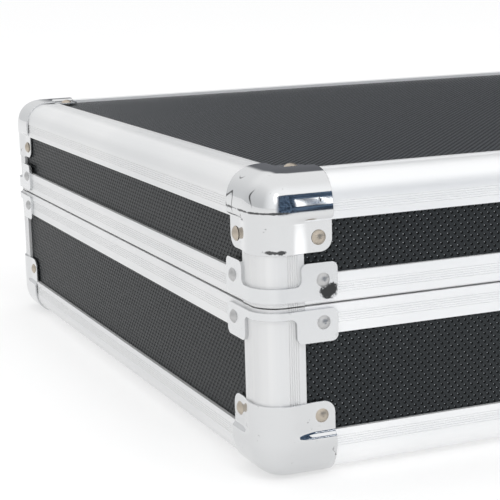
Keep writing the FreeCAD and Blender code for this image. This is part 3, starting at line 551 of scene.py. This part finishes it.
class ChipCaseCorners(bpy.types.PropertyGroup):
    """Sizes of the pressed ball corners."""
    plate: length("Plate", "How far the plate stands off the profiles", 0.0008)
    ball_reach: length("Reach", "Reach of a ball corner along each edge", 0.0177)
    ball_radius: length("Ball radius", "How far the rounding reaches from the edges", 0.0094)
    ball_lip: length("Ball lip", "How far the ball overhangs the upright arm", 0.00020)
    ball_power: bpy.props.FloatProperty(name="Ball power", default=2.5, min=2.0, max=6.0,
                                        description="2 is a round section, more is squarer")
    tab_radius: length("Tab radius", "Radius of each tab's corner", 0.0030)
    tab_depth: length("Tab depth", "How far a tab lies below the arms", 0.0008)
    joggle: length("Joggle", "Where the step down to a tab ends, from the case's corner", 0.0105)
    joggle_sharp: length("Short step", "Width of the step beside a level arm", 0.0012)
    joggle_soft: length("Long step", "Width of the slope beside an upright arm", 0.0044)
    shell: length("Wall", "Thickness shown at the plate's edges", 0.0006)
    shell_edge: length("Wall edge", "Rounding of the plate's edges", 0.00012)


class ChipCaseSofts(bpy.types.PropertyGroup):
    """Colours of the linings, the pad, the trays and the grip."""
    tray_colour: colour("Tray flock", "Colour of the flocked trays", (0.010, 0.010, 0.012))
    lining_colour: colour("Lining", "Colour of the linings", (0.014, 0.014, 0.016))
    pad_colour: colour("Pad", "Colour of the lid's foam pad", (0.020, 0.020, 0.022))
    nap_contrast: bpy.props.FloatProperty(name="Nap contrast", default=2.2, min=1.0, max=4.0,
                                          description="Lighter brushed flock against darker")
    pad_round: length("Pad rounding", "Radius of the foam pad's edges", 0.0035)
    pad_swell: length("Pad swell", "How far the foam swells in the middle", 0.0008)
    rib_count: bpy.props.IntProperty(name="Ribs", description="Ribs round the grip", default=22)
    rib_depth: length("Rib depth", "Depth between the grip's ribs", 0.0005)
    grip_end: length("Grip end", "Rounding of the grip's ends", 0.0012)
    grip_roughness: share("Grip roughness", "Roughness of the plastic grip", 0.38)


class ChipCaseStage(bpy.types.PropertyGroup):
    """Camera, floor and lights."""
    camera_offset: bpy.props.FloatVectorProperty(
        name="Camera place", description="Camera, from the case's near bottom corner",
        default=(-0.13098, -0.30600, 0.12007), size=3, subtype="TRANSLATION", unit="LENGTH")
    yaw: bpy.props.FloatProperty(name="Yaw", description="Camera's turn from +Y towards +X",
                                 default=math.radians(22.783), subtype="ANGLE")
    pitch: bpy.props.FloatProperty(name="Pitch", description="Camera's tilt down",
                                   default=math.radians(11.173), subtype="ANGLE")
    roll: bpy.props.FloatProperty(name="Roll", description="Camera's roll",
                                  default=math.radians(-1.556), subtype="ANGLE")
    lens: bpy.props.FloatProperty(name="Lens", description="Focal length in millimetres",
                                  default=111.14)
    floor_size: length("Floor size", "Side of the floor", 40.0)
    floor_colour: colour("Floor", "Colour of the floor", (0.46, 0.46, 0.46))
    floor_glow: share("Floor glow", "Light that the floor gives of itself", 0.52)
    room_light: bpy.props.FloatProperty(name="Room light", default=1.12, min=0.0,
                                        description="Brightness of the ceiling")
    room_dark: colour("Room dark", "Colour of the wall behind", (0.17, 0.175, 0.19))
    card_dark: colour("Card dark", "Darker tone of the wall in front", (0.010, 0.018, 0.035))
    card_light: colour("Card light", "Lighter tone of the wall in front", (0.16, 0.24, 0.36))


GROUPS = {
    "chip_case_boards": ChipCaseBoards,
    "chip_case_metals": ChipCaseMetals,
    "chip_case_corners": ChipCaseCorners,
    "chip_case_softs": ChipCaseSofts,
    "chip_case_stage": ChipCaseStage,
}
SIDES = ("front", "back", "left", "right")
HALVES = ("base", "lid")

# Marks of cracks, grime and painted shade: place from the near bottom corner, size on each
# axis, kind and strength.
CORNER_MARKS = (
    ((0.0, 0.0120, 0.0650), (0.0050, 0.0085, 0.0042), "crack", 0.9),
    ((0.0026, 0.0036, 0.0692), (0.0014, 0.0014, 0.0008), "grime_and_painted_reflection", 1.0),
    # Painted shade: a thin dark line along the crease under the ball.
    ((0.0020, 0.0, 0.0619), (0.0065, 0.0300, 0.00035), "grime_and_painted_reflection", 0.9),
    ((0.0030, 0.0006, 0.0531), (0.0035, 0.0035, 0.0006), "grime_and_painted_reflection", 0.9),
)
BRACKET_MARKS = (
    # Painted dark reflection: a dark patch below the bracket's upper rivet.
    ((0.0163, -0.0008, 0.0434), (0.0030, 0.0030, 0.0020), "grime_and_painted_reflection", 0.95),
)

# Lamps: name, place from the near bottom corner, width and height, radiance.
LAMPS = (
    ("front_lamp", (0.1, -1.15, 1.25), (0.30, 0.30), 17.0),
    ("top_lamp", (0.25, 0.5, 1.6), (0.6, 0.6), 2.6),
    ("side_lamp", (-1.4, 0.2, 0.8), (0.4, 0.4), 0.4),
)
# Two narrow windows and the wall behind them, low in front of the case.  The wall fades between
# two distances past the case's left end, where it is clear and where it is full.
WINDOWS_X = (0.177, 0.1945)
WINDOW_Y = -0.372
WINDOW_Z = 0.115
WINDOW_SIZE = (0.0058, 0.11)
WINDOW_RADIANCE = 3.0
WALL_X = (-0.75, 0.45)
WALL_Y = -0.376
WALL_Z = (0.002, 0.290)
WALL_FADE = (0.16, 0.04)
# Glows: name, place from the near bottom corner, size on each axis, radiance.
GLOWS = (
    ("studio_front_glow", (0.05, -1.2, 0.95), (2.2, 0.0, 1.5), 1.3),
    ("studio_near_glow", (-0.36, -1.15, 0.65), (0.55, 0.0, 1.1), 2.6),
    ("studio_floor_glow", (0.25, -0.16, 0.001 - BOTTOM_Z), (0.24, 0.20, 0.0), 1.9),
)


# ---- Operators ----------------------------------------------------------------------
class CHIPCASE_OT_boards(bpy.types.Operator):
    """Finish the dotted panels of the base and the lid"""
    bl_idname = "chip_case.boards"
    bl_label = "Panels"

    def execute(self, context):
        look = context.scene.chip_case_boards
        upright_x = dotted_board("dotted_board_front", "X", "Z", look)
        upright_y = dotted_board("dotted_board_end", "Y", "Z", look, 0.17)
        flat = dotted_board("dotted_board_flat", "X", "Y", look, 1.0)
        for half in HALVES:
            paint([half + "_front_panel", half + "_back_panel"], upright_x)
            paint([half + "_left_panel", half + "_right_panel"], upright_y)
        paint(["base_bottom_panel", "lid_top_panel"], flat)
        return {"FINISHED"}


class CHIPCASE_OT_profiles(bpy.types.Operator):
    """Finish the aluminium edge profiles, corner posts and rims"""
    bl_idname = "chip_case.profiles"
    bl_label = "Profiles"

    def execute(self, context):
        look = context.scene.chip_case_metals
        # The ends and the posts get painted shade through end_shade and post_shade.
        finishes = {axis: satin_aluminium("satin_aluminium_" + axis.lower(), axis, look, shade)
                    for axis, shade in (("X", 1.0), ("Y", look.end_shade), ("Z", look.post_shade))}
        for half in HALVES:
            for side in SIDES:
                run = "X" if side in ("front", "back") else "Y"
                names = [half + "_" + side + "_edge_profile", half + "_" + side + "_rim"]
                paint(names, finishes[run])
            paint([half + "_corner_posts"], finishes["Z"])
        return {"FINISHED"}


class CHIPCASE_OT_corners(bpy.types.Operator):
    """Finish the pressed ball corners and the flat corner brackets"""
    bl_idname = "chip_case.corners"
    bl_label = "Corners"

    def execute(self, context):
        look = context.scene.chip_case_metals
        polished = plated_steel("ball_corner_chrome", look, look.chrome_level, 0.05, scuff=0.8,
                                blue=0.01, marks=CORNER_MARKS)
        flat = plated_steel("bracket_chrome", look, look.bracket_level, 0.20, scuff=0.1, seed=3.1,
                            blue=0.012, marks=BRACKET_MARKS)
        sizes = context.scene.chip_case_corners
        for half, ends_z, lip in (("base", (BOTTOM_Z, 1), 0.0),
                                  ("lid", (LID_TOP, -1), sizes.ball_lip)):
            points, faces = ball_corner_surface(sizes, lip)
            mesh = welded_mesh(half + "_ball_corner_shells", *four_shells(points, faces, ends_z))
            shells = add_piece(mesh.name, mesh, polished, half, [half + "_ball_corners"])
            thicken(shells, sizes.shell, sizes.shell_edge)
            paint([half + "_corner_brackets"], flat)
        return {"FINISHED"}


class CHIPCASE_OT_rivets(bpy.types.Operator):
    """Finish the rivets of the corners and of the fittings"""
    bl_idname = "chip_case.rivets"
    bl_label = "Rivets"

    def execute(self, context):
        look = context.scene.chip_case_metals
        nickel = turned_metal("corner_rivet_nickel", opaque(look.nickel), 0.36)
        steel = turned_metal("bracket_rivet_steel", grey(0.50), 0.34)
        for half in HALVES:
            paint([half + "_ball_corner_rivets"], nickel)
            paint([half + "_bracket_rivets", half + "_hardware_rivets"], steel)
        return {"FINISHED"}


class CHIPCASE_OT_hinges(bpy.types.Operator):
    """Finish the hinge leaves and their pins"""
    bl_idname = "chip_case.hinges"
    bl_label = "Hinges"

    def execute(self, context):
        look = context.scene.chip_case_metals
        leaf = plated_steel("hinge_plating", look, look.chrome_level, 0.20, scuff=0.25,
                            seed=5.3)
        pin = turned_metal("pin_steel", grey(0.55), 0.32, 6e-6)
        paint(["base_hinge_leaves", "lid_hinge_leaves"], leaf)
        paint(["hinge_pins"], pin)
        return {"FINISHED"}


class CHIPCASE_OT_latches(bpy.types.Operator):
    """Finish the locks, hasps, sliders and lock cylinders"""
    bl_idname = "chip_case.latches"
    bl_label = "Latches"

    def execute(self, context):
        look = context.scene.chip_case_metals
        case = plated_steel("lock_plating", look, look.chrome_level, 0.14, scuff=0.2,
                            seed=7.7)
        hasp = plated_steel("hasp_plating", look, look.chrome_level, 0.12, scuff=0.2,
                            seed=9.4)
        pin = turned_metal("hasp_pin_steel", grey(0.55), 0.30, 6e-6)
        cylinder = turned_metal("lock_cylinder_metal", (0.72, 0.56, 0.30, 1.0), 0.24)
        paint(["lock_cases", "left_slider", "right_slider"], case)
        paint(["hasp_mounts", "left_hasp", "right_hasp"], hasp)
        paint(["hasp_pins"], pin)
        paint(["left_lock_cylinder", "right_lock_cylinder"], cylinder)
        return {"FINISHED"}


class CHIPCASE_OT_handle(bpy.types.Operator):
    """Finish the handle's brackets, bail and grip"""
    bl_idname = "chip_case.handle"
    bl_label = "Handle"

    def execute(self, context):
        look = context.scene.chip_case_metals
        softs = context.scene.chip_case_softs
        plate = plated_steel("handle_plating", look, look.chrome_level, 0.16, scuff=0.25,
                             seed=11.2)
        paint(["handle_brackets", "handle_bail"], plate)
        add_grip(softs, moulded_plastic("grip_plastic", softs))
        return {"FINISHED"}


def add_grip(look, material):
    """Moulded grip turned about the bail's bar.

    The radius rises from the ends to the middle as a half ellipse would, its ends are rounded
    by a circle, and between the ends ribs dip by the rib depth times a raised cosine.
    """
    low, high = (np.array(corner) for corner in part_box("handle_grip"))
    centre = (low + high) / 2
    half = (high[0] - low[0]) / 2
    full = (high[2] - low[2]) / 2
    end = look.grip_end
    ribbed = 0.84 * half
    belly = 0.20
    x = np.linspace(-half, half, 360)
    body = full * (1 - belly + belly * np.sqrt(1 - (x / half * 0.98) ** 2))
    ribs = smooth_step(ribbed - np.abs(x), 0.0, 0.05 * half)
    wave = 0.5 - 0.5 * np.cos(2 * math.pi * look.rib_count * (x / (2 * ribbed) + 0.5))
    body -= look.rib_depth * ribs * wave ** 3
    inside = np.clip((half - np.abs(x)) / end, 0.0, 1.0)
    body -= end * (1 - np.sqrt(1 - (1 - inside) ** 2))
    along = np.concatenate([[x[0]], x, [x[-1]]]) + centre[0]
    radii = np.concatenate([[0.0], body, [0.0]])
    points, faces = lathe(along, radii, centre)
    add_piece("ribbed_grip", welded_mesh("ribbed_grip", points, faces), material, "handle",
              ["handle_grip"])


class CHIPCASE_OT_inside(bpy.types.Operator):
    """Finish the linings, the trays and the lid's foam pad"""
    bl_idname = "chip_case.inside"
    bl_label = "Linings and trays"

    def execute(self, context):
        look = context.scene.chip_case_softs
        trays = flocked("tray_flock", look.tray_colour, look)
        felt = flocked("lining_felt", look.lining_colour, look, 1400.0)
        cloth = flocked("pad_cloth", look.pad_colour, look, 1800.0)
        paint(["left_chip_tray", "right_chip_tray", "centre_tray"], trays)
        paint(["base_lining"], felt)
        add_pad(look, cloth)
        return {"FINISHED"}


def add_pad(look, material):
    """Foam pad under the lid: a round-edged box whose lower face swells in the middle.

    A point sinks by the swell times (1 - x^4)(1 - y^4), with x and y from -1 to 1 over the pad
    and the sinking fading out towards the back of the pad.
    """
    low, high = (np.array(corner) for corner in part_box("lid_pad"))
    points, faces = rounded_box(low + [0, 0, look.pad_swell], high, look.pad_round, (90, 36, 6))
    middle = (low + high) / 2
    half = (high - low) / 2
    x, y, z = ((points - middle) / half).T
    front = np.clip((1 - z) / 2, 0, 1)
    points[:, 2] -= look.pad_swell * (1 - x ** 4) * (1 - y ** 4) * front
    pad = add_piece("lid_foam_pad", welded_mesh("lid_foam_pad", points, faces), material, "lid",
                    ["lid_pad"])


class CHIPCASE_OT_stage(bpy.types.Operator):
    """Set up the floor, the lights, the room and the camera"""
    bl_idname = "chip_case.stage"
    bl_label = "Studio"

    def execute(self, context):
        look = context.scene.chip_case_stage
        add_floor(look)
        add_room(look)
        for name, place, size, radiance in LAMPS:
            add_lamp(name, NEAR_CORNER + Vector(place), NEAR_CORNER, size, radiance)
        for index, x in enumerate(WINDOWS_X):
            place = NEAR_CORNER + Vector((x, WINDOW_Y, WINDOW_Z))
            add_lamp(f"window_{index}", place, place + Vector((0, 1, 0)), WINDOW_SIZE,
                     WINDOW_RADIANCE, True)
        add_wall(look)
        for name, place, size, radiance in GLOWS:
            add_glow(name, place, size, radiance)
        add_camera(look)
        context.scene.view_settings.view_transform = "Standard"
        return {"FINISHED"}


def add_floor(look):
    """Flat square floor at Z = 0: a two by two grid of points."""
    half = look.floor_size / 2
    side = np.array([-half, half])
    x, y = np.meshgrid(side, side, indexing="ij")
    points = np.stack([x, y, np.zeros_like(x)], axis=-1).reshape(-1, 3)
    finish = Finish("floor_paint")
    mottle = finish.noise(3.0, 2.0, 0.5)
    tint = finish.blend(0.15 * mottle, opaque(look.floor_colour), grey(0.44))
    material = finish.surface(Base_Color=tint, Roughness=0.9, Specular_IOR_Level=0.1,
                              Emission_Color=grey(1.0), Emission_Strength=look.floor_glow)
    mesh = welded_mesh("studio_floor", points, grid_quads(2, 2))
    floor = bpy.data.objects.new("studio_floor", mesh)
    floor.data.materials.append(material)
    bpy.context.scene.collection.objects.link(floor)


def add_room(look):
    """Room light by direction: a grey wall behind, brighter ones round it and above.

    The left side is duller and the front brighter; the camera itself sees plain white.
    """
    world = bpy.data.worlds.new("studio_room")
    world.use_nodes = True
    bpy.context.scene.world = world
    finish = Finish("studio_room", world.node_tree)
    direction = finish.node("TexCoord").out("Generated")
    split = finish.node("SeparateXYZ", {}, {0: direction})
    height = split.out(2)
    behind = split.out(1).eased(0.0, 0.2) * split.out(0).eased(0.20, 0.30)
    behind = behind * height.eased(0.70, 0.78, 1.0, 0.0)
    wall = finish.blend(height.eased(0.05, 0.75), grey(look.room_light * 0.72, 0.01),
                        grey(look.room_light))
    wall = finish.blend(split.out(0).eased(-0.9, -0.3, 0.45, 0.0), wall, grey(0.62, 0.02))
    wall = finish.blend(split.out(1).eased(-0.9, -0.3, 0.50, 0.0), wall, grey(1.60, 0.01))
    light = finish.blend(behind, wall, opaque(look.room_dark))
    seen = finish.node("LightPath").out("Is Camera Ray")
    light = finish.blend(seen, light, grey(1.0))
    background = finish.node("Background", {}, {"Color": light, "Strength": 1.0}).out(0)
    finish.node("OutputWorld", {}, {"Surface": background})


def add_lamp(name, place, target, size, radiance, glossy=False):
    """Rectangular soft lamp at a place, facing a target, hidden from the camera."""
    data = bpy.data.lights.new(name, "AREA")
    data.shape = "RECTANGLE"
    data.size, data.size_y = size
    data.energy = radiance * math.pi * size[0] * size[1]
    lamp = bpy.data.objects.new(name, data)
    lamp.location = place
    lamp.rotation_mode = "QUATERNION"
    lamp.rotation_quaternion = (Vector(target) - Vector(place)).to_track_quat("-Z", "Y")
    lamp.visible_camera = False
    lamp.visible_glossy = glossy
    bpy.context.scene.collection.objects.link(lamp)


def add_card(name, points, material):
    """Card of four points, two by two, that only glossy rays see."""
    mesh = welded_mesh(name, points.reshape(-1, 3), grid_quads(2, 2))
    mesh.materials.append(material)
    card = bpy.data.objects.new(name, mesh)
    bpy.context.scene.collection.objects.link(card)
    for ray in ("camera", "diffuse", "shadow", "transmission", "volume_scatter"):
        setattr(card, "visible_" + ray, False)


def add_wall(look):
    """Dark blue wall low in front of the case, that fades out past its left end."""
    x, z = np.meshgrid(np.array(WALL_X), np.array(WALL_Z), indexing="ij")
    points = np.stack([x, np.full_like(x, FRONT_Y + WALL_Y), z], axis=-1)
    finish = Finish("wall_paint")
    clear, full = (LEFT_X - past for past in WALL_FADE)
    fade = finish.axes()["X"].eased(clear, full)
    blotch = finish.noise(60.0, 4.0, 0.75)
    tint = finish.blend(blotch.eased(0.42, 0.62), opaque(look.card_dark),
                        opaque(look.card_light))
    material = finish.surface(Base_Color=grey(0.0), Specular_IOR_Level=0.0, Alpha=fade,
                              Emission_Color=tint, Emission_Strength=1.0)
    add_card("studio_wall", points, material)


def add_glow(name, place, size, radiance):
    """Bright card, upright or lying, that fades out towards its edges.

    Its size is 0 on the axis that it faces.
    """
    centre = NEAR_CORNER + Vector(place)
    s, t = np.meshgrid((-0.5, 0.5), (-0.5, 0.5), indexing="ij")
    points = np.empty((2, 2, 3))
    points[..., 0] = centre[0] + size[0] * s
    points[..., 1] = centre[1] + size[1] * t
    points[..., 2] = centre[2] + size[2] * t
    finish = Finish(name + "_light")
    half = [0.5 * side if side else 1.0 for side in size]
    fade = finish.away(centre, half).eased(0.25, 1.0, 1.0, 0.0)
    material = finish.surface(Base_Color=grey(0.0), Specular_IOR_Level=0.0, Alpha=fade,
                              Emission_Color=grey(1.0), Emission_Strength=radiance)
    add_card(name, points, material)


def add_camera(look):
    """Camera at its place from the near bottom corner, turned by yaw, pitch and roll."""
    forward = Vector((math.sin(look.yaw) * math.cos(look.pitch),
                      math.cos(look.yaw) * math.cos(look.pitch), -math.sin(look.pitch)))
    level = forward.cross(Vector((0, 0, 1))).normalized()
    above = level.cross(forward)
    right = math.cos(look.roll) * level + math.sin(look.roll) * above
    up = math.cos(look.roll) * above - math.sin(look.roll) * level
    data = bpy.data.cameras.new("camera")
    data.lens = look.lens
    data.sensor_width = 36.0
    data.clip_start = 0.01
    data.clip_end = 200.0
    camera = bpy.data.objects.new("camera", data)
    turn = Matrix((right, up, -forward)).transposed().to_4x4()
    camera.matrix_world = Matrix.Translation(NEAR_CORNER + Vector(look.camera_offset)) @ turn
    bpy.context.scene.collection.objects.link(camera)
    bpy.context.scene.camera = camera


OPERATORS = (CHIPCASE_OT_boards, CHIPCASE_OT_profiles, CHIPCASE_OT_corners, CHIPCASE_OT_rivets,
             CHIPCASE_OT_hinges, CHIPCASE_OT_latches, CHIPCASE_OT_handle, CHIPCASE_OT_inside,
             CHIPCASE_OT_stage)


class CHIPCASE_PT_sidebar(bpy.types.Panel):
    """Lists the settings and the steps of the chip case"""
    bl_idname = "CHIPCASE_PT_sidebar"
    bl_label = "Chip Case"
    bl_space_type = "VIEW_3D"
    bl_region_type = "UI"
    bl_category = "Chip Case"

    def draw(self, context):
        for group in GROUPS:
            box = self.layout.box()
            settings = getattr(context.scene, group)
            for prop in type(settings).__annotations__:
                box.prop(settings, prop)
        for operator in OPERATORS:
            self.layout.operator(operator.bl_idname)


def register():
    for group, kind in GROUPS.items():
        bpy.utils.register_class(kind)
        setattr(bpy.types.Scene, group, bpy.props.PointerProperty(type=kind))
    for operator in OPERATORS:
        bpy.utils.register_class(operator)
    bpy.utils.register_class(CHIPCASE_PT_sidebar)


def unregister():
    bpy.utils.unregister_class(CHIPCASE_PT_sidebar)
    for operator in reversed(OPERATORS):
        bpy.utils.unregister_class(operator)
    for group, kind in reversed(GROUPS.items()):
        delattr(bpy.types.Scene, group)
        bpy.utils.unregister_class(kind)


def main():
    register()
    for operator in OPERATORS:
        group, step = operator.bl_idname.split(".")
        getattr(getattr(bpy.ops, group), step)()


if __name__ == "__main__":
    main()
